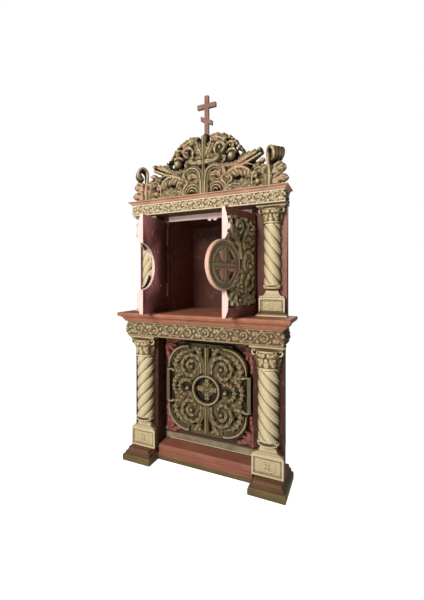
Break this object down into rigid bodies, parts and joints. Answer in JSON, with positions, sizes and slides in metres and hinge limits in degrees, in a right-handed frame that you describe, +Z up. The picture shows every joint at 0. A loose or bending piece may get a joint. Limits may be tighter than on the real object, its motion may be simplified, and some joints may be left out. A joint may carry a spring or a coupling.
{
  "type": "two-tiered altar",
  "caption": "Carved wooden altar in tiers: a relief panel between twisted columns below, an open cabinet with hinged doors above, and a leafy crown with a cross.",
  "frame": {"origin": "middle of the footprint box, on the floor, with the doors standing open", "axes": "+Z up, front towards -Y, +X to the right of someone who faces the front"},
  "size_m": [1.21, 0.9164, 2.548],
  "materials": {
    "mahogany": "worn satin stain with lighter edges",
    "olive_carving": "aged olive-gold paint on carved wood, dark in the recesses",
    "cream_carving": "aged cream paint on carved wood",
    "pale_edge": "worn pale pink paint",
    "brass": "dull brass"
  },
  "bodies": {
    "carcass": {"cabinet_ceiling": "mahogany", "corner_leaves_bottom_left": "mahogany", "corner_leaves_bottom_right": "mahogany", "corner_leaves_top_left": "mahogany", "corner_leaves_top_right": "mahogany", "cornice_frieze": "olive_carving", "cornice_moulding": "mahogany", "cornice_soffit": "mahogany", "cross": "mahogany", "crown": "olive_carving", "left_cabinet_wall": "mahogany", "left_foot": "mahogany", "left_lower_column_base": "cream_carving", "left_lower_column_capital": "cream_carving", "left_lower_column_pedestal": "cream_carving", "left_lower_column_shaft": "cream_carving", "left_lower_hinge": "brass", "left_lower_pilaster": "mahogany", "left_lower_side": "mahogany", "left_upper_column_base": "cream_carving", "left_upper_column_capital": "cream_carving", "left_upper_column_pedestal": "cream_carving", "left_upper_column_shaft": "cream_carving", "left_upper_hinge": "brass", "left_upper_pilaster": "mahogany", "left_upper_side": "mahogany", "lower_back": "mahogany", "lower_frieze": "olive_carving", "lower_panel_board": "mahogany", "lower_panel_carving": "olive_carving", "plinth_rail": "mahogany", "right_cabinet_wall": "mahogany", "right_foot": "mahogany", "right_lower_column_base": "cream_carving", "right_lower_column_capital": "cream_carving", "right_lower_column_pedestal": "cream_carving", "right_lower_column_shaft": "cream_carving", "right_lower_hinge": "brass", "right_lower_pilaster": "mahogany", "right_lower_side": "mahogany", "right_upper_column_base": "cream_carving", "right_upper_column_capital": "cream_carving", "right_upper_column_pedestal": "cream_carving", "right_upper_column_shaft": "cream_carving", "right_upper_hinge": "brass", "right_upper_pilaster": "mahogany", "right_upper_side": "mahogany", "tabletop": "mahogany", "upper_back": "mahogany", "valance": "pale_edge"},
    "left_door": {"left_door": "olive_carving"},
    "right_door": {"right_door": "olive_carving", "medallion": "olive_carving"}
  },
  "joints": [
    {"name": "left_hinge", "type": "hinge", "parent": "carcass", "child": "left_door", "pos_m": [-0.329, 0.00519, 1.3785], "axis": [0, 0, 1], "range_deg": [-4, 86]},
    {"name": "right_hinge", "type": "hinge", "parent": "carcass", "child": "right_door", "pos_m": [0.329, 0.00519, 1.3785], "axis": [0, 0, 1], "range_deg": [-73, 17]}
  ]
}
